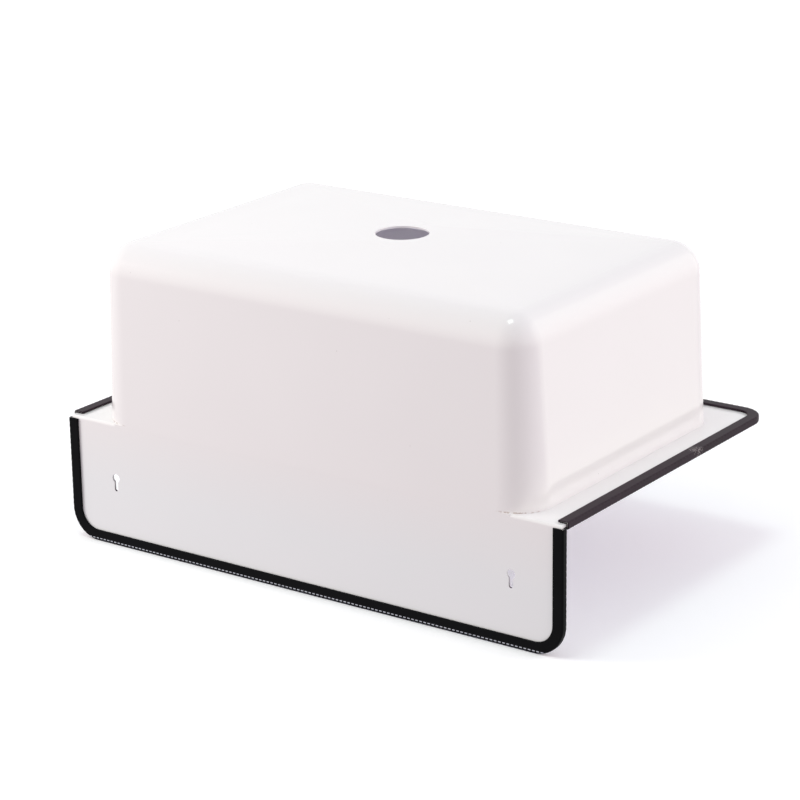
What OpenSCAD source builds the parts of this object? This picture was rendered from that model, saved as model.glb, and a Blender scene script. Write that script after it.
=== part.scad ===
// Wall-hung bucket sink in white enamelled steel.
// A drawn bowl is welded under a rim sheet, which folds up at the back into a splashback.
// The sheet's free edges are covered by two lengths of black edge trim with a steel carrier inside.
// The origin is the centre of the waste hole, on the outside of the bottom.
// +Z points up to the rim, and +Y points to the wall.

/* [Bowl] */
// Outer width of the bowl at the rim, from side to side
bowl_w = 447; // [400:1:500]
// Outer depth of the bowl at the rim, from wall to front
bowl_d = 298; // [260:1:340]
// Height of the rim's underside above the outside of the bottom
bowl_h = 167; // [120:1:220]
// Thickness of the bowl's enamelled steel wall
bowl_t = 2; // [1.2:0.1:3]
// Outer radius of the upright corners at the rim
bowl_corner_r = 32; // [24:1:45]
// Outer radius between the walls and the bottom
bottom_r = 27; // [15:1:40]
// How far each side wall leans in between rim and bottom
side_draft = 6.5; // [0:0.5:12]
// How far the front wall leans in between rim and bottom
front_draft = 4; // [0:0.5:12]
// How far the back wall leans in between rim and bottom
back_draft = 1; // [0:0.5:4]
// Fall of the bottom from its edges to the waste hole
bottom_fall = 7; // [0:0.5:12]

/* [Waste hole] */
// Diameter of the waste hole
waste_d = 46; // [38:1:56]
// Diameter of the flat seat round the waste hole
waste_seat_d = 72; // [66:1:96]
// Distance from the centre of the waste hole to the wall side of the sink
waste_to_wall = 147; // [120:1:170]

/* [Rim and splashback] */
// Thickness of the enamelled steel sheet
sheet_t = 2; // [1.2:0.1:3]
// Inner radius of the fold between rim and splashback
fold_inner_r = 0.5; // [0.2:0.1:2]
// Width of the rim at each side, from the bowl to the sheet's edge
rim_side = 29; // [24:0.5:45]
// Width of the rim in front, from the bowl to the sheet's edge
rim_front = 31.5; // [24:0.5:60]
// Height of the splashback's edge above the rim's underside
splash_h = 109.5; // [90:0.5:160]
// Radius of the rim's two front corners
rim_corner_r = 20; // [15:1:35]
// Radius of the splashback's two top corners
splash_corner_r = 25; // [15:1:35]

/* [Keyholes] */
// Distance between the two keyholes
key_spacing = 410; // [300:1:440]
// Height of the keyholes' round heads above the rim's underside
key_h = 50; // [35:1:65]
// Diameter of a keyhole's round head
key_head_d = 8; // [7:0.5:12]
// Width of a keyhole's slot
key_slot_w = 4; // [3:0.5:5]
// Distance from the centre of the head to the end radius of the slot
key_travel = 10; // [7:0.5:16]

/* [Edge trim] */
// How far the trim's legs reach in over the sheet
trim_cover = 7.5; // [6.5:0.5:10]
// How far the trim stands out past the sheet's edge
trim_spine = 2.5; // [2.3:0.1:4]
// How far the trim stands off each face of the sheet
trim_leg = 2.25; // [2.1:0.05:3]
// Radius of the trim's two outer edges
trim_spine_r = 1.8; // [1:0.1:1.8]
// Radius at the tips of the trim's legs
trim_tip_r = 0.7; // [0.3:0.1:1]
// Number of gripping lips on the inside of each leg
lip_count = 3; // [1:1:3]
// Depth of the space that the lips bridge between each leg and the sheet
lip_h = 0.5; // [0.3:0.1:0.6]
// Gap between the wall side of the sink and the cut ends of the rim's trim
rim_trim_start = 6; // [5.5:0.5:15]

/* [Trim carrier] */
// Thickness of the steel strip inside the trim
carrier_t = 0.5; // [0.3:0.05:0.5]
// Spacing of the strip's teeth along the edge
carrier_pitch = 5; // [4:0.5:10]
// Width of the slots between the teeth
carrier_slot = 1.5; // [0.8:0.1:2]
// Thickness of the trim between the strip and the sheet's slot
carrier_liner = 0.4; // [0.3:0.05:0.4]

/* [Hidden] */
$fn = 72;
// Steps round a full turn on the bowl's blended corners
bowl_steps = 40;
// How far a cut runs past the face that it opens
over = 1;
// Height of the bowl's upright edge under the rim
collar_h = 3;
// Thickness of the thin disc that holds the waste seat flat
seat_disc_h = 0.2;
// Gap between the end of the trim's slot and the sheet's edge
edge_gap = 0.3;
// Gap between a lip's tip and the sheet
lip_gap = 0.05;
// Width of a lip at its root
lip_w = 1.2;
// How far a lip's root is sunk into its leg
lip_root = 0.1;
// Distance between lips, and from the leg's tip to the first
lip_pitch = 2;
// Gap all round the steel strip inside the trim
carrier_gap = 0.08;
// How far the slots between the teeth run into the strip's web
slot_notch = 0.15;
// Length of trim left solid at the tips of its legs
carrier_tip = 1.4;
// Gap between the rim's upper face and the splashback trim's cut ends
splash_trim_gap = 0.3;

wall_y = waste_to_wall;
fold_outer_r = fold_inner_r + sheet_t;
sheet_w = bowl_w + 2 * rim_side;
rim_l = bowl_d + rim_front;
half_sheet = sheet_t / 2;
// The bowl's back corners curve away from the wall by the fold's radius over this length
flush_extra = sqrt(pow(bowl_corner_r, 2) - pow(bowl_corner_r - fold_outer_r, 2));
flush_w = bowl_w - 2 * bowl_corner_r + 2 * flush_extra;

// Heights in the trim's section, from the middle of the sheet
slot_half = half_sheet + lip_h;
carrier_low = slot_half + carrier_liner + carrier_gap;
carrier_high = carrier_low + carrier_t;
trim_half = half_sheet + trim_leg;
// Distances in the trim's section, outwards from the sheet's edge
web_in = edge_gap + carrier_liner + carrier_gap;
web_out = web_in + carrier_t;
slot_root = web_in + slot_notch;
teeth_tip = carrier_tip + carrier_gap - trim_cover;

// A sheet with one open end and two rounded corners, as [width, length, corner radius, start].
// Length and start are measured from the open end's datum.
rim_sheet = [sheet_w, rim_l, rim_corner_r, fold_outer_r];
splash_sheet = [sheet_w, splash_h, splash_corner_r, fold_outer_r];
rim_edge = [sheet_w, rim_l, rim_corner_r, rim_trim_start];
splash_edge = [sheet_w, splash_h, splash_corner_r, sheet_t + splash_trim_gap];

// Length of the straight side, of one corner and of the far run of an edge
function side_run(e) = e[1] - e[2] - e[3];
function corner_run(e) = PI / 2 * e[2];
function far_run(e) = e[0] - 2 * e[2];
function edge_run(e) = 2 * side_run(e) + 2 * corner_run(e) + far_run(e);

// A point at distance s along an edge and u outside it
function edge_point(e, s, u) =
    let (a = side_run(e), q = corner_run(e), b = far_run(e), cx = e[0] / 2 - e[2], cy = e[1] - e[2])
    s <= a ? [-e[0] / 2 - u, e[3] + s]
    : s <= a + q ? arc_point([-cx, cy], e[2] + u, 180 - 90 * (s - a) / q)
    : s <= a + q + b ? [-cx + s - a - q, e[1] + u]
    : s <= a + 2 * q + b ? arc_point([cx, cy], e[2] + u, 90 - 90 * (s - a - q - b) / q)
    : [e[0] / 2 + u, cy - (s - a - 2 * q - b)];

function arc_point(centre, r, angle) = centre + r * [cos(angle), sin(angle)];

// The flat of a sheet that is open at one end and has two rounded corners
module sheet_outline(e) {
    translate([-e[0] / 2, e[3]])
        square([e[0], e[1] - e[2] - e[3]]);
    translate([e[2] - e[0] / 2, e[3]])
        square([e[0] - 2 * e[2], e[1] - e[3]]);
    for (side = [-1, 1])
        translate([side * (e[0] / 2 - e[2]), e[1] - e[2]])
            circle(r = e[2]);
}

// The rim's plane, seen from its datum at the wall, with the sheet's middle at z = 0
module on_rim() {
    translate([0, wall_y, bowl_h + half_sheet])
        rotate([0, 0, 180])
            children();
}

// The splashback's plane, seen from its datum at the rim's underside
module on_splashback() {
    translate([0, wall_y - half_sheet, bowl_h])
        rotate([90, 0, 0])
            children();
}

// The bowl's outer form, or its hollow when it is drawn in by the wall's thickness
module bowl_form(inset, extra_h) {
    rim_x = bowl_w / 2 - bowl_corner_r;
    rim_back = wall_y - bowl_corner_r;
    rim_front_y = wall_y - bowl_d + bowl_corner_r;
    low_x = bowl_w / 2 - side_draft - bottom_r;
    low_back = wall_y - back_draft - bottom_r;
    low_front = wall_y - bowl_d + front_draft + bottom_r;
    hull() {
        for (side = [-1, 1]) {
            for (y = [rim_back, rim_front_y])
                translate([side * rim_x, y, bowl_h - collar_h])
                    cylinder(r = bowl_corner_r - inset, h = collar_h + extra_h, $fn = bowl_steps);
            for (y = [low_back, low_front])
                translate([side * low_x, y, bottom_fall + bottom_r])
                    sphere(r = bottom_r - inset, $fn = bowl_steps);
        }
        translate([0, 0, inset])
            cylinder(d = waste_seat_d, h = seat_disc_h, $fn = bowl_steps);
    }
}

// The rounded rectangle of the bowl's hollow where it opens through the rim
module mouth_outline() {
    mouth_w = bowl_w - 2 * bowl_t;
    mouth_d = bowl_d - 2 * bowl_t;
    mouth_r = bowl_corner_r - bowl_t;
    translate([-mouth_w / 2, wall_y - bowl_d + bowl_t + mouth_r])
        square([mouth_w, mouth_d - 2 * mouth_r]);
    translate([mouth_r - mouth_w / 2, wall_y - bowl_d + bowl_t])
        square([mouth_w - 2 * mouth_r, mouth_d]);
    for (side = [-1, 1])
        for (y = [wall_y - bowl_corner_r, wall_y - bowl_d + bowl_corner_r])
            translate([side * (bowl_w / 2 - bowl_corner_r), y])
                circle(r = mouth_r);
}

// The drawn bowl, with its fall to the waste hole
module bowl() {
    color("whitesmoke")
        difference() {
            bowl_form(0, 0);
            bowl_form(bowl_t, over);
            translate([0, 0, -over])
                cylinder(d = waste_d, h = bowl_t + 2 * over);
        }
}

// The quarter bend between rim and splashback, across the whole sheet
module fold() {
    translate([-sheet_w / 2, wall_y - fold_outer_r, bowl_h + fold_outer_r])
        rotate([90, 0, 90])
            linear_extrude(sheet_w)
                difference() {
                    intersection() {
                        circle(r = fold_outer_r);
                        translate([0, -fold_outer_r])
                            square(fold_outer_r);
                    }
                    circle(r = fold_inner_r);
                }
}

// One keyhole, cut through a plate whose middle is at z = 0
module keyhole() {
    cut_h = sheet_t + 2 * over;
    translate([0, 0, -cut_h / 2]) {
        cylinder(d = key_head_d, h = cut_h);
        translate([0, key_travel, 0])
            cylinder(d = key_slot_w, h = cut_h);
        translate([-key_slot_w / 2, 0, 0])
            cube([key_slot_w, key_travel, cut_h]);
    }
}

// The rim sheet, folded up into the splashback
module rim_and_splashback() {
    color("white") {
        difference() {
            union() {
                on_rim()
                    translate([0, 0, -half_sheet])
                        linear_extrude(sheet_t)
                            sheet_outline(rim_sheet);
                fold();
            }
            translate([0, 0, bowl_h - over])
                linear_extrude(fold_outer_r + over)
                    mouth_outline();
        }
        translate([-flush_w / 2, wall_y - sheet_t, bowl_h])
            cube([flush_w, sheet_t, fold_outer_r]);
        on_splashback()
            difference() {
                translate([0, 0, -half_sheet])
                    linear_extrude(sheet_t)
                        sheet_outline(splash_sheet);
                for (side = [-1, 1])
                    translate([side * key_spacing / 2, key_h, 0])
                        keyhole();
            }
    }
}

// The outside of the trim's section, with the sheet's edge at x = 0
module trim_outline() {
    for (end = [[trim_spine, trim_spine_r, -1], [-trim_cover, trim_tip_r, 1]]) {
        for (side = [-1, 1])
            translate([end[0] + end[2] * end[1], side * (trim_half - end[1])])
                circle(r = end[1]);
        translate([min(end[0], end[0] + end[2] * end[1]), end[1] - trim_half])
            square([end[1], 2 * (trim_half - end[1])]);
    }
    translate([trim_tip_r - trim_cover, -trim_half])
        square([trim_cover - trim_tip_r + trim_spine - trim_spine_r, 2 * trim_half]);
}

// The space for the steel strip inside the trim's section
module carrier_space() {
    tip = teeth_tip - carrier_gap;
    high = carrier_high + carrier_gap;
    low = carrier_low - carrier_gap;
    difference() {
        translate([tip, -high])
            square([web_out + carrier_gap - tip, 2 * high]);
        translate([tip - over, -low])
            square([web_in - carrier_gap - tip + over, 2 * low]);
    }
}

// The trim's section: two legs with gripping lips, joined by a rounded spine
module trim_section() {
    difference() {
        trim_outline();
        translate([-trim_cover - over, -slot_half])
            square([trim_cover + over + edge_gap, 2 * slot_half]);
        carrier_space();
    }
    for (side = [0, 1])
        mirror([0, side])
            for (i = [1 : lip_count])
                translate([i * lip_pitch - trim_cover - lip_w / 2, 0])
                    polygon([
                        [0, slot_half + lip_root],
                        [lip_w, half_sheet + lip_gap],
                        [lip_w, slot_half + lip_root],
                    ]);
}

// The trim's section swept along an edge: two sides, two corners and the far run
module trim_along(e) {
    cx = e[0] / 2 - e[2];
    cy = e[1] - e[2];
    for (side = [0, 1])
        mirror([side, 0, 0]) {
            translate([e[0] / 2, e[3], 0])
                rotate([-90, 0, 0])
                    linear_extrude(side_run(e))
                        trim_section();
            translate([cx, cy, 0])
                rotate_extrude(angle = 90)
                    translate([e[2], 0])
                        trim_section();
        }
    translate([-cx, e[1], 0])
        rotate([90, 0, 90])
            linear_extrude(far_run(e))
                trim_section();
}

// The comb of the steel strip laid flat: an outer web with teeth that point in over the sheet
module carrier_comb(e) {
    run = edge_run(e);
    count = floor(run / carrier_pitch);
    pitch = run / count;
    polygon(concat(
        [for (i = [0 : 2 * count]) edge_point(e, i * pitch / 2, web_out)],
        [edge_point(e, run, slot_root)],
        [for (i = [count - 1 : -1 : 0])
            let (last = (i + 1) * pitch - carrier_slot / 2, first = i * pitch + carrier_slot / 2)
            each [edge_point(e, last, slot_root), edge_point(e, last, teeth_tip),
                  edge_point(e, first, teeth_tip), edge_point(e, first, slot_root)]],
        [edge_point(e, 0, slot_root)]
    ));
}

// The steel strip along an edge: a comb on each side of the sheet, joined by the web
module carrier_along(e) {
    inner = [e[0] + 2 * web_in, e[1] + web_in, e[2] + web_in, e[3] - over];
    difference() {
        translate([0, 0, -carrier_high])
            linear_extrude(2 * carrier_high)
                carrier_comb(e);
        translate([0, 0, -carrier_low])
            linear_extrude(2 * carrier_low)
                sheet_outline(inner);
    }
}

// Black edge trim round the rim's sides and front
module rim_trim() {
    color("#1b1a1c")
        on_rim()
            trim_along(rim_edge);
}

// Steel strip inside the rim's trim
module rim_trim_carrier() {
    color("silver")
        on_rim()
            carrier_along(rim_edge);
}

// Black edge trim round the splashback's sides and top
module splashback_trim() {
    color("#1b1a1c")
        on_splashback()
            trim_along(splash_edge);
}

// Steel strip inside the splashback's trim
module splashback_trim_carrier() {
    color("silver")
        on_splashback()
            carrier_along(splash_edge);
}

bowl();
rim_and_splashback();
rim_trim();
rim_trim_carrier();
splashback_trim();
splashback_trim_carrier();
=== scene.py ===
"""A wall-hung bucket sink in white enamelled steel, shown upside down as in its photograph.

The frame has +Z up, as the sink hangs in use, so the camera looks from below and is rolled over.
All sizes in the classes are millimetres. mm() turns them into the scene's metres.
"""
import logging
import math
from contextlib import contextmanager
from dataclasses import dataclass
from enum import Enum
from typing import Callable, Iterator

import bmesh
import bpy
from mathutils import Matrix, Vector


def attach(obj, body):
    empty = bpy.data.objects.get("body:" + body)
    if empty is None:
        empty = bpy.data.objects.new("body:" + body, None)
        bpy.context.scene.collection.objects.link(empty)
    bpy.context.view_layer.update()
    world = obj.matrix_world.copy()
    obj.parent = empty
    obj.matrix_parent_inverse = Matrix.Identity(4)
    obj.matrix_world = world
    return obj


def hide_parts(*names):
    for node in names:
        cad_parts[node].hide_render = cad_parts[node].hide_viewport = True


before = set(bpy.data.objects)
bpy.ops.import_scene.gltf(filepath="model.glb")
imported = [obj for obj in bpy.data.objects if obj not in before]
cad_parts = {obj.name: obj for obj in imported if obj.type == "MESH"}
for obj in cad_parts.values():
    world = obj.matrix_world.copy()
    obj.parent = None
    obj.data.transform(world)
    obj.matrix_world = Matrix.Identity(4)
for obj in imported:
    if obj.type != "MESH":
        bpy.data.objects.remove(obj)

LOG = logging.getLogger("bucket_sink")
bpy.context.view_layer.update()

Object = bpy.types.Object
Material = bpy.types.Material
Node = bpy.types.Node
Tree = bpy.types.NodeTree
Socket = bpy.types.NodeSocket
Point = tuple[float, float, float]

# Two heights this close, in millimetres, are one level
LEVEL = 1e-3
# A place is picked with the one that is meant when it is this near, in millimetres
NEAR = 0.1
# Two points this close, in millimetres, are one
DOUBLE = 0.02
# Two lengths in millimetres, or two shares, are the same when they are this close
SAME = 0.01
# Keeps a corner's radius under half its side, in millimetres, so that no two of its points meet
HAIR = 0.001
# The values of a Map Range node, in the order in which the finishes list them
SPAN = ("From Min", "From Max", "To Min", "To Max")


# Units, colours and nodes

def mm(value: float) -> float:
    """Turns millimetres into metres."""
    return value / 1000.0


def place(x: float, y: float, z: float) -> Point:
    """Turns a point in millimetres into one in metres."""
    return mm(x), mm(y), mm(z)


def in_mm(vert: bmesh.types.BMVert) -> Vector:
    """Gives a vertex's place in millimetres."""
    return vert.co * 1000.0


def linear(code: str) -> tuple[float, float, float, float]:
    """Turns an sRGB hex colour into the linear colour that a shader takes.

    Args:
        code: the colour as six hex digits after a hash sign.

    Returns:
        Red, green, blue and an alpha of one.
    """
    parts = [int(code[i:i + 2], 16) / 255.0 for i in (1, 3, 5)]
    red, green, blue = (c / 12.92 if c <= 0.04045 else ((c + 0.055) / 1.055) ** 2.4 for c in parts)
    return red, green, blue, 1.0


def per_mm(size: float) -> float:
    """Gives the scale, in repeats per metre, of a pattern with a grain of this many millimetres."""
    return 1000.0 / size


def add_node(tree: Tree, kind: str, settings: dict | None = None, values: dict | None = None,
             links: dict | None = None) -> Node:
    """Adds one node with its settings, its socket values and what is linked to it.

    Args:
        tree: the node tree that takes the node.
        kind: the node's type name.
        settings: properties of the node by name.
        values: constants of its input sockets, by name or number.
        links: output sockets that feed its inputs, by name or number.

    Returns:
        The new node.
    """
    node = tree.nodes.new(kind)
    for name, value in (settings or {}).items():
        setattr(node, name, value)
    for key, value in (values or {}).items():
        node.inputs[key].default_value = value
    for key, output in (links or {}).items():
        tree.links.new(output, node.inputs[key])
    return node


# Modelling by hand

def clear_selection() -> None:
    """Deselects every object, so that an operator acts only on what is picked next."""
    bpy.ops.object.select_all(action="DESELECT")


def activate(obj: Object) -> None:
    """Selects one object alone and makes it the active one.

    Args:
        obj: the object.
    """
    clear_selection()
    obj.select_set(True)
    bpy.context.view_layer.objects.active = obj


@contextmanager
def editing(obj: Object) -> Iterator[None]:
    """Opens an object's mesh in edit mode with nothing selected, and leaves edit mode at the end.

    Args:
        obj: the mesh object to edit.
    """
    activate(obj)
    bpy.ops.object.mode_set(mode="EDIT")
    bpy.ops.mesh.select_all(action="DESELECT")
    yield
    bpy.ops.object.mode_set(mode="OBJECT")


def pick(obj: Object, kind: str, test: Callable[..., bool]) -> None:
    """Selects the vertices or the edges that pass a test in the mesh being edited.

    Args:
        obj: the object in edit mode.
        kind: VERT or EDGE.
        test: picks one by a vertex's place or an edge's two ends, in millimetres.
    """
    bpy.ops.mesh.select_all(action="DESELECT")
    bpy.ops.mesh.select_mode(type=kind)
    mesh = bmesh.from_edit_mesh(obj.data)
    if kind == "VERT":
        for vert in mesh.verts:
            if test(in_mm(vert)):
                vert.select_set(True)
        mesh.select_flush(True)
    else:
        for edge in mesh.edges:
            if test(*map(in_mm, edge.verts)):
                edge.select_set(True)
    bmesh.update_edit_mesh(obj.data)


def start_piece(name: str) -> Object:
    """Adds a plane primitive at the origin, takes its faces away and gives back the empty piece.

    Args:
        name: the piece's name.

    Returns:
        The new mesh object, at the origin, with no vertices yet.
    """
    clear_selection()
    bpy.ops.mesh.primitive_plane_add(size=1.0, location=(0.0, 0.0, 0.0))
    obj = bpy.context.object
    obj.name = name
    obj.data.name = name
    with editing(obj):
        bpy.ops.mesh.select_all(action="SELECT")
        bpy.ops.mesh.delete(type="VERT")
    return obj


def add_rounded_ring(width: float, depth: float, radius: float, centre: Point, steps: int,
                     keep_face: bool = False) -> None:
    """Adds a level rounded rectangle to the mesh being edited and leaves it selected.

    Args:
        width: its size along X in millimetres.
        depth: its size along Y in millimetres.
        radius: the radius of its corners in millimetres.
        centre: its centre in millimetres.
        steps: steps round each corner.
        keep_face: keeps the face inside the ring.
    """
    bpy.ops.mesh.select_all(action="DESELECT")
    bpy.ops.mesh.select_mode(type="VERT")
    bpy.ops.mesh.primitive_plane_add(size=1.0, location=place(*centre), scale=(1.0, 1.0, 1.0))
    bpy.ops.transform.resize(value=(mm(width), mm(depth), 1.0), center_override=place(*centre))
    bpy.ops.mesh.bevel(offset_type="OFFSET", offset=mm(radius), segments=steps, profile=0.5,
                       affect="VERTICES")
    if not keep_face:
        bpy.ops.mesh.delete(type="ONLY_FACE")


def build_block(name: str, size: Point, radius: float, foot: Point, steps: int) -> Object:
    """Builds an upright block with rounded corners, as a tool that cuts or fills.

    Args:
        name: the tool's name.
        size: its width, depth and height in millimetres.
        radius: the radius of its upright corners in millimetres.
        foot: the middle of its foot in millimetres.
        steps: steps round each corner.

    Returns:
        The closed block.
    """
    block = start_piece(name)
    width, depth, height = size
    with editing(block):
        add_rounded_ring(width, depth, radius, foot, steps, True)
        bpy.ops.mesh.select_all(action="SELECT")
        bpy.ops.mesh.extrude_region_move(TRANSFORM_OT_translate={"value": place(0.0, 0.0, height)})
    face_outwards(block)
    return block


def extrude_edges(x: float, y: float, z: float) -> None:
    """Extrudes the selected edges this many millimetres along each axis."""
    bpy.ops.mesh.extrude_edges_move(TRANSFORM_OT_translate={"value": place(x, y, z)})


def apply_modifier(obj: Object, kind: str, **settings: object) -> None:
    """Adds a modifier with these settings and applies it at once.

    Args:
        obj: the object that takes the modifier.
        kind: the modifier's type.
        **settings: the modifier's properties by name.
    """
    activate(obj)
    modifier = obj.modifiers.new(kind.title(), kind)
    for name, value in settings.items():
        setattr(modifier, name, value)
    bpy.ops.object.modifier_apply(modifier=modifier.name)


def settle(obj: Object, turn: Point, move: Point) -> None:
    """Turns and moves a piece and applies both, so that its origin stays the frame's.

    Args:
        obj: the piece, at the origin.
        turn: its turns about X, Y and Z in degrees.
        move: its move in millimetres.
    """
    obj.rotation_euler = [math.radians(angle) for angle in turn]
    obj.location = place(*move)
    activate(obj)
    bpy.ops.object.transform_apply(location=True, rotation=True, scale=True)


def cut(obj: Object, tool: Object, operation: str = "DIFFERENCE") -> None:
    """Cuts or joins a tool's form into an object and deletes the tool.

    Args:
        obj: the object that is cut.
        tool: the closed form that cuts it.
        operation: DIFFERENCE or UNION.
    """
    apply_modifier(obj, "BOOLEAN", operation=operation, object=tool, solver="EXACT")
    bpy.data.objects.remove(tool)


def round_edges(obj: Object, width: float, angle: float,
                keep: Callable[[Vector, Vector], bool]) -> None:
    """Rounds a piece's sharp edges in three steps and shades it smooth.

    Args:
        obj: the piece.
        width: width of the rounding in millimetres.
        angle: edges sharper than this, in degrees, are rounded.
        keep: says whether an edge stays sharp, from its two ends in millimetres.
    """
    with editing(obj):
        bpy.ops.mesh.select_mode(type="EDGE")
        bpy.ops.mesh.edges_select_sharp(sharpness=math.radians(angle))
        mesh = bmesh.from_edit_mesh(obj.data)
        for edge in mesh.edges:
            if edge.select and keep(*map(in_mm, edge.verts)):
                edge.select_set(False)
        bmesh.update_edit_mesh(obj.data)
        bpy.ops.transform.edge_bevelweight(value=1.0)
    apply_modifier(obj, "BEVEL", width=mm(width), segments=3, limit_method="WEIGHT",
                   use_clamp_overlap=True, miter_outer="MITER_ARC")
    smooth(obj, 50.0)


def smooth(obj: Object, angle: float) -> None:
    """Shades a piece smooth and keeps its flat faces flat.

    Args:
        obj: the piece.
        angle: edges sharper than this, in degrees, stay sharp.
    """
    activate(obj)
    bpy.ops.object.shade_smooth_by_angle(angle=math.radians(angle))
    apply_modifier(obj, "WEIGHTED_NORMAL", mode="FACE_AREA_WITH_ANGLE", weight=60, keep_sharp=True)


def face_outwards(obj: Object) -> None:
    """Merges doubles and turns all of a piece's faces the same way, outwards.

    Args:
        obj: the piece.
    """
    with editing(obj):
        bpy.ops.mesh.select_all(action="SELECT")
        bpy.ops.mesh.remove_doubles(threshold=mm(DOUBLE))
        bpy.ops.mesh.normals_make_consistent(inside=False)


def hand_over(piece: Object, slot: str, *nodes: str) -> None:
    """Lets a finished piece ride on the sink and stands it in for CAD nodes.

    Args:
        piece: the finished piece.
        slot: the record's material slot; not used.
        *nodes: the CAD nodes that it replaces.
    """
    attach(piece, "root")
    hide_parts(*nodes)


# Finishes

@dataclass(frozen=True)
class Reach:
    """How a tone comes in along one axis, between two places in millimetres.

    Where a middle is given, the places are distances from it. A reach that fades goes from full
    to none, and a soft one eases in and out.
    """

    axis: str
    start: float
    end: float
    fades: bool = False
    soft: bool = False
    middle: float | None = None

    def share(self, tree: Tree, where: Socket) -> Socket:
        """Works out the tone's share.

        Args:
            tree: the material's nodes.
            where: the Object coordinates.

        Returns:
            The share, from nought to one.
        """
        along = add_node(tree, "ShaderNodeSeparateXYZ", links={0: where}).outputs[self.axis]
        if self.middle is not None:
            off = add_node(tree, "ShaderNodeMath", {"operation": "SUBTRACT"}, {1: mm(self.middle)},
                           {0: along})
            along = add_node(tree, "ShaderNodeMath", {"operation": "ABSOLUTE"},
                             links={0: off.outputs["Value"]}).outputs["Value"]
        shares = (1.0, 0.0) if self.fades else (0.0, 1.0)
        return add_node(tree, "ShaderNodeMapRange",
                        {"interpolation_type": "SMOOTHSTEP" if self.soft else "LINEAR"},
                        dict(zip(SPAN, (mm(self.start), mm(self.end), *shares))),
                        {"Value": along}).outputs["Result"]


@dataclass(frozen=True)
class Tone:
    """A colour that lies over part of a finish."""

    colour: str
    reaches: tuple[Reach, ...] = ()

    def laid_over(self, tree: Tree, where: Socket, body: Socket, *others: Socket) -> Socket:
        """Lays the tone over a finish's own colour.

        Args:
            tree: the material's nodes.
            where: the Object coordinates.
            body: the finish's own colour.
            *others: shares that the tone's own is multiplied by.

        Returns:
            The colour with the tone.
        """
        share, *rest = [reach.share(tree, where) for reach in self.reaches] + list(others)
        for part in rest:
            share = add_node(tree, "ShaderNodeMath", {"operation": "MULTIPLY"},
                             links={0: share, 1: part}).outputs["Value"]
        return add_node(tree, "ShaderNodeMix", {"data_type": "RGBA"}, {7: linear(self.colour)},
                        {0: share, 6: body}).outputs[2]


# Painted shade: the sheet is painted greyer than the bowl for the shade on its splashback; this
# tone, the bowl's white, covers that grey at the fold and fades out by 225 mm up
PAINTED_SHADE_FADE_AT_FOLD = Tone("#f2f0ef", (Reach("Z", 168.0, 225.0, fades=True),))
# Painted shade: the blend from the bottom to the walls is painted a little darker, for the shade on
# it
PAINTED_SHADE_ON_BLEND = Tone("#edebeb", (Reach("Z", 5.5, 10.0, soft=True),
                                 Reach("Z", 14.0, 30.0, fades=True, soft=True)))
# Painted shade: the keyholes' cut edges are painted dark lilac grey, most in the slots, for the
# shade inside the holes
PAINTED_SHADE_IN_KEYHOLES = Tone("#66585f", (Reach("Y", 0.8, 0.98, fades=True, middle=146.0),
                                  Reach("Z", 209.0, 229.0)))
# The enamel ran thin over the weld at the two back corners, where iron stains it brown
WELD_STAIN = Tone("#a98f84", (Reach("Z", 165.4, 166.4), Reach("X", 190.0, 198.0, middle=0.0),
                              Reach("Y", 121.0, 135.0)))
# Painted highlights: pale dashes over the strip's teeth, on the splashback trim's outer edge, stand
# in for glints of light on its ridges
PAINTED_GLINTS_ON_TEETH = Tone("#ccd2da", (Reach("Z", 0.28, 0.52, fades=True, soft=True, middle=276.4),
                               Reach("Y", 147.4, 147.6)))


@dataclass(frozen=True)
class Skin:
    """How a surface takes the light: its roughness, how uneven that is, and its relief."""

    roughness: float
    uneven: tuple[float, float]
    relief: float
    relief_mm: float

    def shader(self, tree: Tree, patches: Socket, relief: Socket, values: dict,
               links: dict | None = None) -> Socket:
        """Adds the shader, with its uneven roughness and its bump.

        Args:
            tree: the material's nodes.
            patches: the pattern that the roughness follows.
            relief: the pattern that the bump follows.
            values: the shader's constants.
            links: what else feeds the shader.

        Returns:
            The shader.
        """
        least, most = (self.roughness * share for share in self.uneven)
        gloss = add_node(tree, "ShaderNodeMapRange", values={"To Min": least, "To Max": most},
                         links={"Value": patches})
        bump = add_node(tree, "ShaderNodeBump",
                        values={"Strength": self.relief, "Distance": mm(self.relief_mm)},
                        links={"Height": relief})
        return add_node(tree, "ShaderNodeBsdfPrincipled", values=values,
                        links={"Roughness": gloss.outputs["Result"],
                               "Normal": bump.outputs["Normal"], **(links or {})}).outputs["BSDF"]


@dataclass(frozen=True)
class Finish:
    """A surface finish, whose kinds each build their own shader."""

    name: str

    def surface(self, tree: Tree) -> Socket:
        """Builds the finish's shader in an empty tree and gives its output."""
        raise NotImplementedError

    def material(self) -> Material:
        """Makes a material with this finish.

        Returns:
            The material.
        """
        material = bpy.data.materials.new(self.name)
        material.use_nodes = True
        tree = material.node_tree
        tree.nodes.clear()
        add_node(tree, "ShaderNodeOutputMaterial", links={"Surface": self.surface(tree)})
        return material


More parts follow.
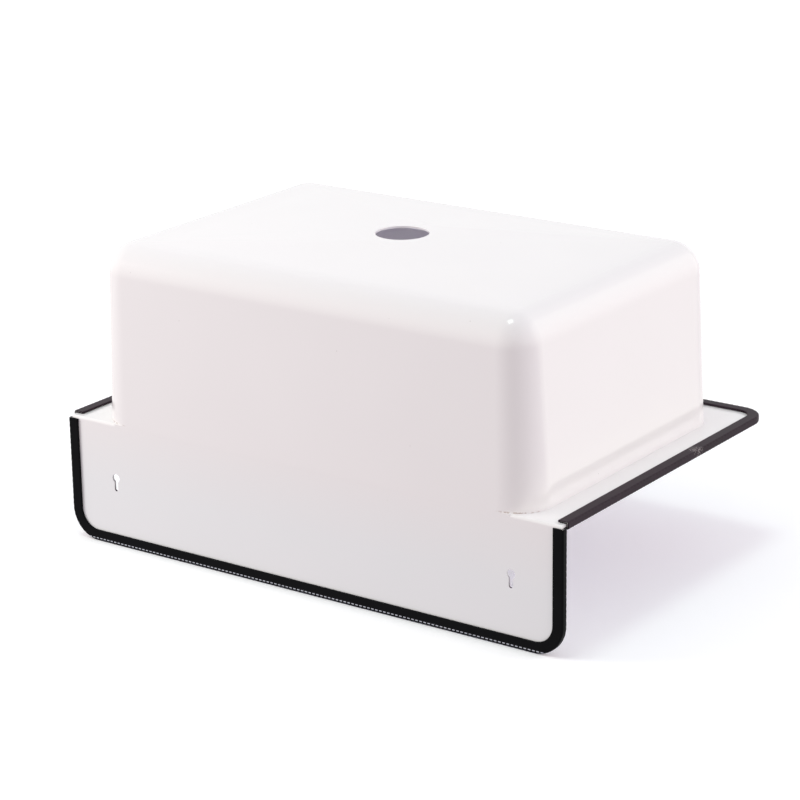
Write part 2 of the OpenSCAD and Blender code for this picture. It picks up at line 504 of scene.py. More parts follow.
@dataclass(frozen=True)
class VitreousEnamel(Finish):
    """White glass enamel, sprayed on steel and fused at red heat.

    It flows before it sets, so it is glossy with a faint orange peel, pools a little unevenly
    and holds a few fine specks. Painted shade lies over parts of it.
    """

    colour: str
    pooled_colour: str
    # Painted shade, laid over parts of the enamel
    painted_shades: tuple[Tone, ...] = ()
    stain: Tone | None = None
    speck: Tone = Tone("#b9b2ae")
    skin: Skin = Skin(0.12, (0.7, 1.3), 0.12, 0.05)
    ior: float = 1.52
    peel_mm: float = 3.5
    pool_mm: float = 90.0
    stain_mm: float = 3.0
    stain_span: tuple[float, ...] = (0.42, 0.56, 0.0, 0.62)
    speck_cell_mm: float = 26.0
    # A speck is about half a millimetre wide in its cell
    speck_span: tuple[float, ...] = (0.008, 0.016, 1.0, 0.0)

    def surface(self, tree: Tree) -> Socket:
        """Builds the enamel's shader: pools, painted shade, stain and specks, under a glossy peel.

        Args:
            tree: the material's nodes.

        Returns:
            The shader.
        """
        where = add_node(tree, "ShaderNodeTexCoord").outputs["Object"]
        pools, peel = (add_node(tree, "ShaderNodeTexNoise",
                                values={"Scale": per_mm(size), "Detail": detail},
                                links={"Vector": where}).outputs["Fac"]
                       for size, detail in ((self.pool_mm, 1.0), (self.peel_mm, 0.0)))
        body = add_node(tree, "ShaderNodeMix", {"data_type": "RGBA"},
                        {6: linear(self.colour), 7: linear(self.pooled_colour)},
                        {0: pools}).outputs[2]
        for tone in self.painted_shades:
            body = tone.laid_over(tree, where, body)
        if self.stain:
            body = self.stained(tree, where, body)
        cells = add_node(tree, "ShaderNodeTexVoronoi", values={"Scale": per_mm(self.speck_cell_mm)},
                         links={"Vector": where})
        speck = add_node(tree, "ShaderNodeMapRange", {"interpolation_type": "SMOOTHSTEP"},
                         dict(zip(SPAN, self.speck_span)), {"Value": cells.outputs["Distance"]})
        body = self.speck.laid_over(tree, where, body, speck.outputs["Result"])
        return self.skin.shader(tree, pools, peel, {"IOR": self.ior}, {"Base Color": body})

    def stained(self, tree: Tree, where: Socket, body: Socket) -> Socket:
        """Lays the stain over the enamel in a broken line.

        Args:
            tree: the material's nodes.
            where: the Object coordinates.
            body: the enamel's own colour.

        Returns:
            The colour with the stain.
        """
        breaks = add_node(tree, "ShaderNodeTexNoise",
                          values={"Scale": per_mm(self.stain_mm), "Detail": 2.0},
                          links={"Vector": where})
        broken = add_node(tree, "ShaderNodeMapRange", values=dict(zip(SPAN, self.stain_span)),
                          links={"Value": breaks.outputs["Fac"]})
        return self.stain.laid_over(tree, where, body, broken.outputs["Result"])


@dataclass(frozen=True)
class ExtrudedVinyl(Finish):
    """Black soft PVC, extruded round a steel strip.

    The die leaves a satin skin with a fine grain, and handling leaves dull, dusty patches.
    """

    colour: str
    dusty_colour: str
    skin: Skin = Skin(0.42, (0.8, 1.25), 0.25, 0.06)
    # Below PVC's 1.53: an oily skin in a white studio would otherwise look grey all round
    ior: float = 1.16
    grain_mm: float = 1.2
    patch_mm: float = 30.0
    dust_span: tuple[float, ...] = (0.35, 0.75, 0.15, 0.9)
    scuff: Tone = Tone("#a59d9c")
    scuff_at: Point | None = None
    scuff_reach: tuple[float, float] = (3.0, 10.0)
    scuff_span: tuple[float, ...] = (0.5, 0.62, 0.0, 0.75)
    # Painted highlights in a row along the strip's teeth
    painted_glints: Tone | None = None
    glint_pitch_mm: float = 4.03
    glint_span: tuple[float, ...] = (0.2, 0.5)
    faint_span: tuple[float, ...] = (0.3, 0.5, 0.7)

    def surface(self, tree: Tree) -> Socket:
        """Builds the vinyl's shader: dust, a scuff and painted glints where it has them, and the
        grain.

        Args:
            tree: the material's nodes.

        Returns:
            The shader.
        """
        where = add_node(tree, "ShaderNodeTexCoord").outputs["Object"]
        patches = add_node(tree, "ShaderNodeTexNoise",
                           values={"Scale": per_mm(self.patch_mm), "Detail": 3.0, "Roughness": 0.6},
                           links={"Vector": where}).outputs["Fac"]
        grain = add_node(tree, "ShaderNodeTexNoise",
                         values={"Scale": per_mm(self.grain_mm), "Detail": 2.0},
                         links={"Vector": where}).outputs["Fac"]
        dust = add_node(tree, "ShaderNodeMapRange", values=dict(zip(SPAN, self.dust_span)),
                        links={"Value": patches})
        body = add_node(tree, "ShaderNodeMix", {"data_type": "RGBA"},
                        {6: linear(self.colour), 7: linear(self.dusty_colour)},
                        {0: dust.outputs["Result"]}).outputs[2]
        if self.scuff_at:
            body = self.scuffed(tree, where, grain, body)
        if self.painted_glints:
            body = self.with_painted_glints(tree, where, patches, body)
        return self.skin.shader(tree, patches, grain, {"IOR": self.ior}, {"Base Color": body})

    def scuffed(self, tree: Tree, where: Socket, grain: Socket, body: Socket) -> Socket:
        """Adds a pale scuff, broken up by the grain, round one place on the trim.

        Args:
            tree: the material's nodes.
            where: the Object coordinates.
            grain: the fine grain that breaks the scuff up.
            body: the colour under the scuff.

        Returns:
            The colour with the scuff.
        """
        away = add_node(tree, "ShaderNodeVectorMath", {"operation": "DISTANCE"},
                        {1: place(*self.scuff_at)}, {0: where})
        near = add_node(tree, "ShaderNodeMapRange", {"interpolation_type": "SMOOTHSTEP"},
                        dict(zip(SPAN, (*map(mm, self.scuff_reach), 1.0, 0.0))),
                        {"Value": away.outputs["Value"]})
        rubbed = add_node(tree, "ShaderNodeMapRange", values=dict(zip(SPAN, self.scuff_span)),
                          links={"Value": grain})
        return self.scuff.laid_over(tree, where, body, near.outputs["Result"],
                                    rubbed.outputs["Result"])

    def with_painted_glints(self, tree: Tree, where: Socket, patches: Socket, body: Socket) -> Socket:
        """Paints the row of glints over the strip's teeth, some fainter than others.

        Args:
            tree: the material's nodes.
            where: the Object coordinates.
            patches: the broad noise that makes some glints fainter.
            body: the colour under the glints.

        Returns:
            The colour with the glints.
        """
        # A wave of scale 1 repeats every pi / 10 units
        wave = add_node(tree, "ShaderNodeTexWave", {"wave_type": "BANDS", "bands_direction": "X"},
                        {"Scale": per_mm(self.glint_pitch_mm) * math.pi / 10}, {"Vector": where})
        teeth = add_node(tree, "ShaderNodeMapRange", values=dict(zip(SPAN, self.glint_span)),
                         links={"Value": wave.outputs["Fac"]})
        faint = add_node(tree, "ShaderNodeMapRange", values=dict(zip(SPAN, self.faint_span)),
                         links={"Value": patches})
        return self.painted_glints.laid_over(tree, where, body, teeth.outputs["Result"],
                                    faint.outputs["Result"])


@dataclass(frozen=True)
class PunchedSteel(Finish):
    """Cold-rolled steel strip, punched and bent, with fine rolling lines and a dull sheen."""

    name: str = "cold_rolled_steel_strip"
    colour: str = "#c3c1bd"
    skin: Skin = Skin(0.38, (0.8, 1.3), 0.2, 0.02)
    line_mm: float = 0.8

    def surface(self, tree: Tree) -> Socket:
        """Builds the steel's shader.

        Args:
            tree: the material's nodes.

        Returns:
            The shader.
        """
        where = add_node(tree, "ShaderNodeTexCoord").outputs["Object"]
        lines = add_node(tree, "ShaderNodeTexNoise",
                         values={"Scale": per_mm(self.line_mm), "Detail": 3.0},
                         links={"Vector": where}).outputs["Fac"]
        return self.skin.shader(tree, lines, lines,
                                {"Base Color": linear(self.colour), "Metallic": 1.0})


@dataclass(frozen=True)
class StudioPaper(Finish):
    """Matt white background paper, seen from its front only, so that it never hides the sink.

    It shows the camera some plain white on top of its own light, as an overlit paper does.
    """

    name: str = "white_background_paper"
    colour: str = "#fcfcfc"
    roughness: float = 0.9
    white: float = 0.15

    def surface(self, tree: Tree) -> Socket:
        """Builds the paper's shader.

        Args:
            tree: the material's nodes.

        Returns:
            The shader.
        """
        side = add_node(tree, "ShaderNodeNewGeometry").outputs["Backfacing"]
        paper = add_node(tree, "ShaderNodeBsdfPrincipled",
                         values={"Base Color": linear(self.colour), "Roughness": self.roughness,
                                 "Specular IOR Level": 0.0})
        seen = add_node(tree, "ShaderNodeLightPath").outputs["Is Camera Ray"]
        level = add_node(tree, "ShaderNodeMath", {"operation": "MULTIPLY"}, {1: self.white},
                         {0: seen})
        white = add_node(tree, "ShaderNodeEmission", values={"Color": (1.0, 1.0, 1.0, 1.0)},
                         links={"Strength": level.outputs["Value"]})
        front = add_node(tree, "ShaderNodeAddShader",
                         links={0: paper.outputs["BSDF"], 1: white.outputs["Emission"]})
        clear = add_node(tree, "ShaderNodeBsdfTransparent")
        return add_node(tree, "ShaderNodeMixShader", links={
            0: side, 1: front.outputs["Shader"], 2: clear.outputs["BSDF"]}).outputs["Shader"]


# The sink's pieces

class Piece:
    """A modelled piece of the sink, which stands in for one CAD node."""

    node: str
    slot: str

    def build(self) -> Object:
        """Models the piece and gives its object."""
        raise NotImplementedError

    def make(self, finish: Finish) -> None:
        """Models the piece, gives it its finish and hands it over in place of its CAD node.

        Args:
            finish: the piece's finish.
        """
        piece = self.build()
        piece.data.materials.clear()
        piece.data.materials.append(finish.material())
        hand_over(piece, self.slot, self.node)
        LOG.info("%s: %d faces", piece.name, len(piece.data.polygons))


@dataclass
class Bowl(Piece):
    """The drawn bowl: leaning walls, blended corners and a bottom that falls to the waste hole."""

    node: str = "bowl"
    slot: str = "bowl_enamel"
    width: float = 447.0
    depth: float = 298.0
    height: float = 167.0
    wall: float = 2.0
    corner_r: float = 32.0
    bottom_r: float = 27.0
    side_draft: float = 6.5
    front_draft: float = 4.0
    back_draft: float = 1.0
    fall: float = 7.0
    waste_d: float = 46.0
    seat_d: float = 72.0
    back_y: float = 147.0
    collar: float = 3.0
    edge_r: float = 0.35
    steps: int = 14
    blend_steps: int = 12
    fall_steps: int = 6

    def rings(self) -> list[tuple[float, float, float, float, float]]:
        """Lists the bowl's outside from the rim down to the flat seat round the waste hole.

        Returns:
            One ring per level: width, depth, corner radius, middle's Y and height.
        """
        middle = self.back_y - self.depth / 2
        low_width = self.width - 2 * self.side_draft
        low_depth = self.depth - self.front_draft - self.back_draft
        low_middle = middle + (self.front_draft - self.back_draft) / 2
        low_z = self.fall + self.bottom_r
        rings = [(self.width, self.depth, self.corner_r, middle, z)
                 for z in (self.height, self.height - self.collar)]
        slope = math.degrees(math.atan2(self.fall, low_depth / 2 - self.bottom_r - self.seat_d / 2))
        for i in range(self.blend_steps + 1):
            turn = math.radians((90.0 - slope) * i / self.blend_steps)
            drawn_in = self.bottom_r * (1 - math.cos(turn))
            rings.append((low_width - 2 * drawn_in, low_depth - 2 * drawn_in,
                          self.bottom_r * math.cos(turn), low_middle,
                          low_z - self.bottom_r * math.sin(turn)))
        width, depth, radius, _, z = rings[-1]
        for i in range(1, self.fall_steps + 1):
            share = i / self.fall_steps
            rings.append((width + (self.seat_d - width) * share,
                          depth + (self.seat_d - depth) * share,
                          radius + (self.seat_d / 2 - radius) * share - HAIR,
                          low_middle * (1 - share), z * (1 - share)))
        return rings

    def build(self) -> Object:
        """Models the bowl: stacked rings, bridged, given their wall and softened at the cut edges.

        Returns:
            The bowl's object.
        """
        bowl = start_piece("enamelled_bowl")
        rings = self.rings()
        with editing(bowl):
            for width, depth, radius, y, z in rings:
                add_rounded_ring(width, depth, radius, (0.0, y, z), self.steps)
            levels = [ring[-1] for ring in rings]
            for pair in zip(levels, levels[1:]):
                pick(bowl, "EDGE", lambda a, b: abs(a.z - b.z) < LEVEL
                     and min(abs(a.z - z) for z in pair) < LEVEL)
                bpy.ops.mesh.bridge_edge_loops()
            self.open_waste_hole(bowl)
        face_outwards(bowl)
        self.turn_bottom_down(bowl)
        apply_modifier(bowl, "SOLIDIFY", thickness=mm(self.wall), offset=-1.0, use_even_offset=True,
                       use_quality_normals=True)
        # The top edge stays sharp, because it is welded to the sheet
        round_edges(bowl, self.edge_r, 50.0, lambda a, b: min(a.z, b.z) > self.height - NEAR)
        return bowl

    def open_waste_hole(self, bowl: Object) -> None:
        """Draws the edge of the flat seat in to the waste hole.

        Args:
            bowl: the bowl in edit mode.
        """
        pick(bowl, "EDGE", lambda a, b: abs(a.z) < LEVEL and abs(b.z) < LEVEL)
        share = self.waste_d / self.seat_d
        bpy.ops.mesh.extrude_edges_move()
        bpy.ops.transform.resize(value=(share, share, 1.0), center_override=(0.0, 0.0, 0.0))

    def turn_bottom_down(self, bowl: Object) -> None:
        """Flips the faces if the bottom points into the bowl.

        Args:
            bowl: the bowl's object.
        """
        low = min(bowl.data.polygons, key=lambda face: face.center.z)
        if low.normal.z > 0:
            with editing(bowl):
                bpy.ops.mesh.select_all(action="SELECT")
                bpy.ops.mesh.flip_normals()


@dataclass
class RimSheet(Piece):
    """The folded sheet: rim, fold and splashback, with the bowl's opening and two keyholes."""

    node: str = "rim_and_splashback"
    slot: str = "sheet_enamel"
    width: float = 505.0
    front_y: float = -182.5
    wall_y: float = 147.0
    under_z: float = 167.0
    top_z: float = 276.5
    thickness: float = 2.0
    fold_r: float = 1.5
    rim_corner_r: float = 20.0
    splash_corner_r: float = 25.0
    mouth: Point = (443.0, 294.0, 30.0)
    flush_width: float = 407.8
    flush_rise: float = 0.8
    flush_corner_r: float = 0.02
    key_spacing: float = 410.0
    key_z: float = 217.0
    key_head_d: float = 8.0
    key_slot_w: float = 4.0
    key_travel: float = 10.0
    edge_r: float = 0.4
    corner_steps: int = 20
    fold_steps: int = 6
    key_steps: int = 10

    def build(self) -> Object:
        """Models the sheet on its middle surface, thickens it, then cuts its openings.

        Returns:
            The sheet's object.
        """
        sheet = start_piece("enamelled_rim_and_splashback")
        half = self.thickness / 2
        middle_z = self.under_z + half
        back_y = self.wall_y - half
        depth = back_y - self.front_y
        with editing(sheet):
            centre = place(0.0, back_y - depth / 2, middle_z)
            bpy.ops.mesh.primitive_plane_add(size=1.0, location=centre)
            bpy.ops.transform.resize(value=(mm(self.width), mm(depth), 1.0), center_override=centre)
            pick(sheet, "VERT", lambda p: p.y > back_y - NEAR)
            extrude_edges(0.0, 0.0, self.top_z - middle_z)
            for radius, corner in ((self.rim_corner_r, lambda p: p.y < self.front_y + NEAR),
                                   (self.splash_corner_r, lambda p: p.z > self.top_z - NEAR)):
                pick(sheet, "VERT", corner)
                bpy.ops.mesh.bevel(offset=mm(radius), segments=self.corner_steps, profile=0.5,
                                   affect="VERTICES")
            pick(sheet, "EDGE",
                 lambda a, b: all(p.y > back_y - NEAR and p.z < middle_z + NEAR for p in (a, b)))
            bpy.ops.mesh.bevel(offset=mm(self.fold_r), segments=self.fold_steps, profile=0.5,
                               affect="EDGES")
        face_outwards(sheet)
        apply_modifier(sheet, "SOLIDIFY", thickness=mm(self.thickness), offset=0.0,
                       use_even_offset=True)
        face_outwards(sheet)
        self.cut_mouth(sheet)
        for side in (-1, 1):
            self.cut_keyhole(sheet, side * self.key_spacing / 2)
        # The fold's foot stays sharp, because it lies flush on the bowl's back wall
        round_edges(sheet, self.edge_r, 40.0, lambda a, b: (
            min(a.y, b.y) > self.wall_y - self.thickness - NEAR
            and max(a.z, b.z) < self.under_z + NEAR and abs(a.x + b.x) < self.flush_width))
        return sheet

    def cut_mouth(self, sheet: Object) -> None:
        """Cuts the bowl's opening and fills the fold flush above the bowl's back wall.

        Args:
            sheet: the sheet's object.
        """
        width, depth, radius = self.mouth
        tall = self.thickness + self.fold_r + 1.0
        foot = (0.0, self.wall_y - self.thickness - depth / 2, self.under_z - 1.0)
        cut(sheet, build_block("mouth_tool", (width, depth, tall), radius, foot, self.corner_steps))
        fill = (self.flush_width, self.thickness, self.thickness + self.flush_rise)
        foot = (0.0, self.wall_y - self.thickness / 2, self.under_z)
        cut(sheet, build_block("flush_fill", fill, self.flush_corner_r, foot, 1), "UNION")

    def cut_keyhole(self, sheet: Object, x: float) -> None:
        """Cuts one keyhole: a round head, and a slot that runs up from it.

        Args:
            sheet: the sheet's object.
            x: the keyhole's place in millimetres.
        """
        long = self.key_travel + self.key_slot_w / 2
        deep = 3 * self.thickness
        for width, height, z in ((self.key_head_d, self.key_head_d, self.key_z),
                                 (self.key_slot_w, long, self.key_z + long / 2)):
            tool = build_block("keyhole_tool", (width, height, deep), width / 2 - HAIR,
                               (0.0, 0.0, -deep / 2), self.key_steps)
            settle(tool, (90.0, 0.0, 0.0), (x, self.wall_y - self.thickness / 2, z))
            cut(sheet, tool)


class TrimRun(Enum):
    """Where a length of edge trim goes."""

    RIM = "rim_trim"
    SPLASHBACK = "splashback_trim"


# How a level trim turns and moves onto its sheet: over the rim, or up onto the splashback
TRIM_PLACES = {TrimRun.RIM: ((0.0, 0.0, 180.0), (0.0, 147.0, 168.0)),
               TrimRun.SPLASHBACK: ((90.0, 0.0, 0.0), (0.0, 146.0, 167.0))}
# Where a ridge stands along a pitch, and the share of its height there
RIDGE_PROFILE = ((0.5, 1.0), (0.25, 0.6), (0.75, 0.6))


@dataclass
class EdgeTrim(Piece):
    """One length of U-shaped edge trim round two sides, two corners and the far run of a sheet.

    It is modelled with the sheet level and its datum at the origin, then turned into place.
    """

    run: TrimRun
    slot: str = "edge_trim"
    edge_width: float = 505.0
    edge_length: float = 329.5
    corner_r: float = 25.0
    start: float = 6.0
    cover: float = 7.5
    spine: float = 2.5
    half: float = 3.25
    spine_r: float = 1.8
    tip_r: float = 0.7
    slot_half: float = 1.5
    slot_end: float = 0.3
    lip_at: Point = (-6.1, -4.1, -2.1)
    lip_w: float = 1.2
    lip_tip: float = 1.05
    strip_space: tuple[float, float, float, float, float] = (-6.1, 1.36, 0.7, 2.56, 1.9)
    pitch: float = 5.0
    ridge: float = 0.16
    ridge_reach: float = 0.6
    # The ridges keep off the ends, which are cut square
    plain_end: float = 1.0
    steps_per_pitch: int = 4

    @property
    def node(self) -> str:
        """The CAD node that the trim stands in for."""
        return self.run.value

    @property
    def side(self) -> float:
        """The straight length of one side."""
        return self.edge_length - self.corner_r - self.start

    @property
    def far(self) -> float:
        """The straight length of the far run."""
        return self.edge_width - 2 * self.corner_r

    @property
    def corner(self) -> tuple[float, float]:
        """The centre of the corner on the +X side."""
        return self.edge_width / 2 - self.corner_r, self.edge_length - self.corner_r

    def outline(self) -> list[tuple[float, float]]:
        """Traces the trim's section, with the sheet's edge at zero.

        Returns:
            Points as distance out from the edge and height over the sheet's middle.
        """
        upper: list[tuple[float, float]] = []
        for radius, middle, first, steps in ((self.spine_r, self.spine - self.spine_r, 0.0, 6),
                                             (self.tip_r, self.tip_r - self.cover, 90.0, 3)):
            for i in range(steps + 1):
                turn = math.radians(first + 90.0 * i / steps)
                upper.append((middle + radius * math.cos(turn),
                              self.half - radius + radius * math.sin(turn)))
        upper.append((-self.cover, self.slot_half))
        for x in self.lip_at:
            upper += [(x, self.slot_half), (x + self.lip_w, self.lip_tip),
                      (x + self.lip_w, self.slot_half)]
        upper.append((self.slot_end, self.slot_half))
        return upper + [(out, -height) for out, height in reversed(upper)]

    def space(self) -> list[tuple[float, float]]:
        """Traces the space inside the section that the steel strip lies in.

        Returns:
            Points as in the outline.
        """
        tip, out, inner, high, low = self.strip_space
        return [(tip, high), (out, high), (out, -high), (tip, -high),
                (tip, -low), (inner, -low), (inner, low), (tip, low)]

    def build(self) -> Object:
        """Models the trim: two traced loops, extruded, spun round the corners and closed.

        Returns:
            The trim's object.
        """
        trim = start_piece("soft_plastic_" + self.run.value)
        with editing(trim):
            for loop in (self.outline(), self.space()):
                self.trace(trim, loop)
            self.sweep(trim)
            self.close_ends(trim)
        face_outwards(trim)
        self.raise_ridges(trim)
        settle(trim, *TRIM_PLACES[self.run])
        smooth(trim, 40.0)
        return trim

    def trace(self, trim: Object, loop: list[tuple[float, float]]) -> None:
        """Draws a closed loop of edges, one extruded vertex after the other.

        Args:
            trim: the trim in edit mode.
            loop: the loop's points.
        """
        first, last = (Vector((self.edge_width / 2 + out, self.start, height))
                       for out, height in (loop[0], loop[-1]))
        bpy.ops.mesh.select_all(action="DESELECT")
        bpy.ops.mesh.select_mode(type="VERT")
        bpy.ops.mesh.primitive_plane_add(size=mm(0.1), location=place(*first))
        bpy.ops.mesh.merge(type="CENTER")
        for (out, height), (next_out, next_height) in zip(loop, loop[1:]):
            bpy.ops.mesh.extrude_vertices_move(
                TRANSFORM_OT_translate={"value": place(next_out - out, 0.0, next_height - height)})
        pick(trim, "VERT", lambda p: min((p - first).length, (p - last).length) < DOUBLE)
        bpy.ops.mesh.edge_face_add()

    def runs(self) -> tuple[int, int, int]:
        """Counts the whole pitches of one side, one corner and the far run."""
        lengths = (self.side, math.pi / 2 * self.corner_r, self.far)
        return tuple(max(1, round(length / self.pitch)) for length in lengths)

    def sweep(self, trim: Object) -> None:
        """Sweeps the traced loops along the sheet's edge, then divides the straight runs.

        Args:
            trim: the trim in edit mode.
        """
        side_pitches, corner_pitches, far_pitches = self.runs()
        cx, cy = self.corner
        pick(trim, "VERT", lambda p: True)
        for way, corner_x in (((0.0, self.side, 0.0), cx), ((-self.far, 0.0, 0.0), -cx)):
            extrude_edges(*way)
            bpy.ops.mesh.spin(steps=corner_pitches * self.steps_per_pitch, angle=-math.pi / 2,
                              center=place(corner_x, cy, 0.0), axis=(0, 0, 1))
        extrude_edges(0.0, -self.side, 0.0)
        for length, pitches in ((self.side, side_pitches), (self.far, far_pitches)):
            self.divide(trim, length, pitches)
            self.divide(trim, length / pitches, self.steps_per_pitch)

    def divide(self, trim: Object, length: float, parts: int) -> None:
        """Divides all edges of one length that lie along a straight run into equal parts.

        Args:
            trim: the trim in edit mode.
            length: the length of the edges in millimetres.
            parts: how many parts each edge becomes.
        """
        pick(trim, "EDGE", lambda a, b: abs((b - a).length - length) < SAME
             and max(abs(b.x - a.x), abs(b.y - a.y)) > length - SAME)
        bpy.ops.mesh.subdivide(number_cuts=parts - 1)

    def close_ends(self, trim: Object) -> None:
        """Fills the two cut ends round the strip's space.

        Args:
            trim: the trim in edit mode.
        """
        for side in (-1, 1):
            pick(trim, "EDGE", lambda a, b: a.x * side > 0 and abs(a.y - self.start) < LEVEL
                 and abs(b.y - self.start) < LEVEL)
            bpy.ops.mesh.fill(use_beauty=True)

    def raise_ridges(self, trim: Object) -> None:
        """Lifts a low ridge over each of the strip's teeth, which press the plastic outwards.

        Args:
            trim: the level trim.
        """
        side_steps, corner_steps, far_steps = (self.steps_per_pitch * run for run in self.runs())
        cx, cy = self.corner
        reach = self.ridge_reach * self.spine_r

        def on_ridge(point: Vector, at: float) -> bool:
            """Tells where a ridge stands.

            Args:
                point: a place on the trim.
                at: the share of a pitch.

            Returns:
                Whether the point lies there, outside on the spine's corners.
            """
            if point.y <= cy:
                index = (point.y - self.start) / self.side * side_steps
                out = abs(point.x) - self.edge_width / 2
            elif abs(point.x) <= cx:
                index = side_steps + corner_steps + (point.x + self.far / 2) / self.far * far_steps
                out = point.y - self.edge_length
            else:
                turn = math.atan2(point.y - cy, abs(point.x) - cx) / (math.pi / 2)
                index = side_steps + turn * corner_steps
                out = math.hypot(abs(point.x) - cx, point.y - cy) - self.corner_r
            share = round(index) % self.steps_per_pitch / self.steps_per_pitch
            return (abs(share - at) < SAME and out > self.spine - reach
                    and abs(point.z) > self.half - reach and point.y > self.start + self.plain_end)

        with editing(trim):
            for at, share in RIDGE_PROFILE:
                pick(trim, "VERT", lambda p: on_ridge(p, at))
                bpy.ops.transform.shrink_fatten(value=mm(self.ridge * share))


@dataclass
class StripCarriers:
    """The toothed steel strips inside the trims, which are the CAD nodes in their own finish."""

    nodes: tuple[str, str] = ("rim_trim_carrier", "splashback_trim_carrier")

    def dress(self, steel: Material) -> None:
        """Puts the steel on the strips' own meshes.

        Args:
            steel: the strips' material.
        """
        for name in self.nodes:
            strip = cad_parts[name]
            strip.data.materials.clear()
            strip.data.materials.append(steel)
            LOG.info("%s: dressed", name)


# The studio

@dataclass(frozen=True)
class Lamp:
    """A sun in one direction from the sink, or a soft square panel at a place in metres.

    Its level is how bright it leaves a white surface that faces it. Its spread is a sun's angle in
    degrees, or a panel's size in metres. The sink's gloss shows it where it is mirrored.
    """

    name: str
    kind: str
    towards: Point
    level: float
    colour: str
    spread: float
    mirrored: bool = True

    def build(self) -> None:
        """Adds the lamp to the scene, turned towards the sink."""
        data = bpy.data.lights.new(self.name, self.kind)
        data.color = linear(self.colour)[:3]
        lamp = bpy.data.objects.new(self.name, data)
        way = Vector(self.towards)
        if self.kind == "SUN":
            data.energy = self.level * math.pi
            data.angle = math.radians(self.spread)
        else:
            data.shape = "SQUARE"
            data.size = self.spread
            data.energy = self.level * math.pi * math.pi * way.length_squared
        lamp.visible_glossy = self.mirrored
        lamp.location = way
        lamp.rotation_euler = way.to_track_quat("Z", "Y").to_euler()
        bpy.context.scene.collection.objects.link(lamp)


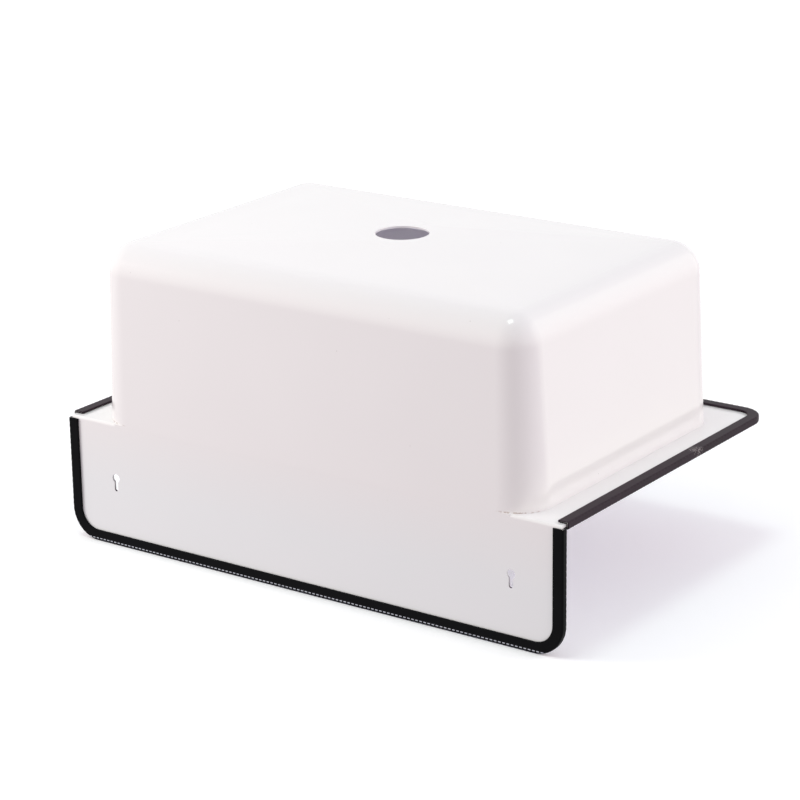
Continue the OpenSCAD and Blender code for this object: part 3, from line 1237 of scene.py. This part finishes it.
@dataclass
class Studio:
    """The camera, the lamps, the pale surroundings and the two sheets of paper."""

    lens: float = 126.528
    camera_at: Point = (1336.1, 1881.6, -608.4)
    camera_turn: Point = (-108.174, -0.782, -35.22)
    paper_size: float = 16000.0
    photo_floor_z: float = 279.0
    use_floor_z: float = -1.0
    # From the photograph's top (-Z) through the horizon to its floor (+Z)
    sky: tuple[str, str, str, str, str] = ("#bfd4d7", "#e1cad3", "#fffff6", "#ab9bb2", "#4a4f66")
    lamps: tuple[Lamp, ...] = (
        Lamp("top_softbox", "SUN", (-0.1, 0.144, -0.985), 0.14, "#ecfff6", 16.0),
        Lamp("left_softbox", "AREA", (-1.2, 0.9, -0.5), 0.37, "#fffdfa", 0.5, False),
        Lamp("right_softbox", "SUN", (0.66, -0.72, -0.2), 0.15, "#f9ffe8", 60.0),
        Lamp("right_high_softbox", "SUN", (0.74, -0.52, -0.42), 0.263, "#f3eeff", 30.0, False),
        Lamp("use_side_softbox", "SUN", (-0.5, -0.5, 0.7), 0.22, "#cfdafc", 20.0))
    photo_paper: StudioPaper = StudioPaper()
    # Greyer and warmer than the photograph's, against the glow of the walls and the cool light here
    use_paper: StudioPaper = StudioPaper("use_background_paper", "#cecac0", white=0.54)

    def build_camera(self) -> None:
        """Puts the camera where the photograph was taken from, for a square frame."""
        data = bpy.data.cameras.new("photo_camera")
        data.lens = self.lens
        data.sensor_width = 36.0
        data.sensor_fit = "HORIZONTAL"
        data.clip_end = 100.0
        camera = bpy.data.objects.new("photo_camera", data)
        camera.location = place(*self.camera_at)
        camera.rotation_euler = [math.radians(angle) for angle in self.camera_turn]
        bpy.context.scene.collection.objects.link(camera)
        bpy.context.scene.camera = camera

    def build_world(self) -> None:
        """Surrounds the sink with pale light, brightest from its sides."""
        world = bpy.data.worlds.new("studio_surroundings")
        bpy.context.scene.world = world
        world.use_nodes = True
        tree = world.node_tree
        tree.nodes.clear()
        way = add_node(tree, "ShaderNodeTexCoord").outputs["Generated"]
        height = add_node(tree, "ShaderNodeSeparateXYZ", links={0: way}).outputs["Z"]
        level = add_node(tree, "ShaderNodeMapRange", values={"From Min": -1.0},
                         links={"Value": height})
        ramp = add_node(tree, "ShaderNodeValToRGB", links={"Fac": level.outputs["Result"]})
        stops = ramp.color_ramp.elements
        stops[0].color = linear(self.sky[0])
        stops[1].color = linear(self.sky[-1])
        for position, colour in zip((0.25, 0.5, 0.75), self.sky[1:-1]):
            stops.new(position).color = linear(colour)
        lit = add_node(tree, "ShaderNodeBackground", links={"Color": ramp.outputs["Color"]})
        white = add_node(tree, "ShaderNodeBackground", values={"Color": (1.0, 1.0, 1.0, 1.0)})
        # The camera and gloss see plain white, and only diffuse light takes the sky's colours
        path = add_node(tree, "ShaderNodeLightPath")
        shown = path.outputs["Is Camera Ray"]
        for ray in ("Is Glossy Ray", "Is Transmission Ray"):
            shown = add_node(tree, "ShaderNodeMath", {"operation": "MAXIMUM"},
                             links={0: shown, 1: path.outputs[ray]}).outputs["Value"]
        mixed = add_node(tree, "ShaderNodeMixShader", links={
            0: shown, 1: lit.outputs["Background"], 2: white.outputs["Background"]})
        add_node(tree, "ShaderNodeOutputWorld", links={"Surface": mixed.outputs["Shader"]})

    def build_paper(self, name: str, z: float, faces_up: bool, paper: StudioPaper) -> None:
        """Lays one sheet of background paper that only the camera sees, and only from its front.

        Args:
            name: the sheet's name.
            z: its height in millimetres.
            faces_up: which way its front faces.
            paper: its finish.
        """
        clear_selection()
        bpy.ops.mesh.primitive_plane_add(size=mm(self.paper_size), location=place(0.0, 0.0, z))
        sheet = bpy.context.object
        sheet.name = name
        with editing(sheet):
            bpy.ops.mesh.select_all(action="SELECT")
            if not faces_up:
                bpy.ops.mesh.flip_normals()
        for ray in ("diffuse", "glossy", "transmission", "shadow"):
            setattr(sheet, "visible_" + ray, False)
        sheet.data.materials.append(paper.material())

    def build(self) -> None:
        """Builds the whole studio."""
        bpy.context.scene.view_settings.view_transform = "Standard"
        self.build_camera()
        self.build_world()
        for lamp in self.lamps:
            lamp.build()
        self.build_paper("photo_floor", self.photo_floor_z, False, self.photo_paper)
        self.build_paper("use_floor", self.use_floor_z, True, self.use_paper)
        LOG.info("studio built")


def main() -> None:
    """Builds the studio, then the sink piece by piece."""
    logging.basicConfig(level=logging.INFO, format="%(name)s: %(message)s")
    Studio().build()
    Bowl().make(VitreousEnamel("bowl_vitreous_enamel", "#f1efee", "#f4f2f1",
                               (PAINTED_SHADE_ON_BLEND,), WELD_STAIN))
    # Painted shade: the sheet's white enamel is painted cooler and greyer than the bowl's, though
    # one enamel covers both, for the shade on the splashback
    RimSheet().make(VitreousEnamel("sheet_vitreous_enamel", "#edf0f0", "#f0f2f2",
                                   (PAINTED_SHADE_FADE_AT_FOLD, PAINTED_SHADE_IN_KEYHOLES)))
    # Painted light: the rim trim's black PVC is painted browner and lighter than the splashback
    # trim's, for the light on its top; its dust and scuff are its own
    EdgeTrim(TrimRun.RIM, corner_r=20.0).make(
        ExtrudedVinyl("rim_trim_black_pvc", "#2a2127", "#382d35", scuff_at=(253.0, -63.0, 165.0)))
    EdgeTrim(TrimRun.SPLASHBACK, edge_length=109.5, start=2.3).make(
        ExtrudedVinyl("splashback_trim_black_pvc", "#0b0b0d", "#111214", ior=1.12,
                      painted_glints=PAINTED_GLINTS_ON_TEETH))
    StripCarriers().dress(PunchedSteel().material())


if __name__ == "__main__":
    main()
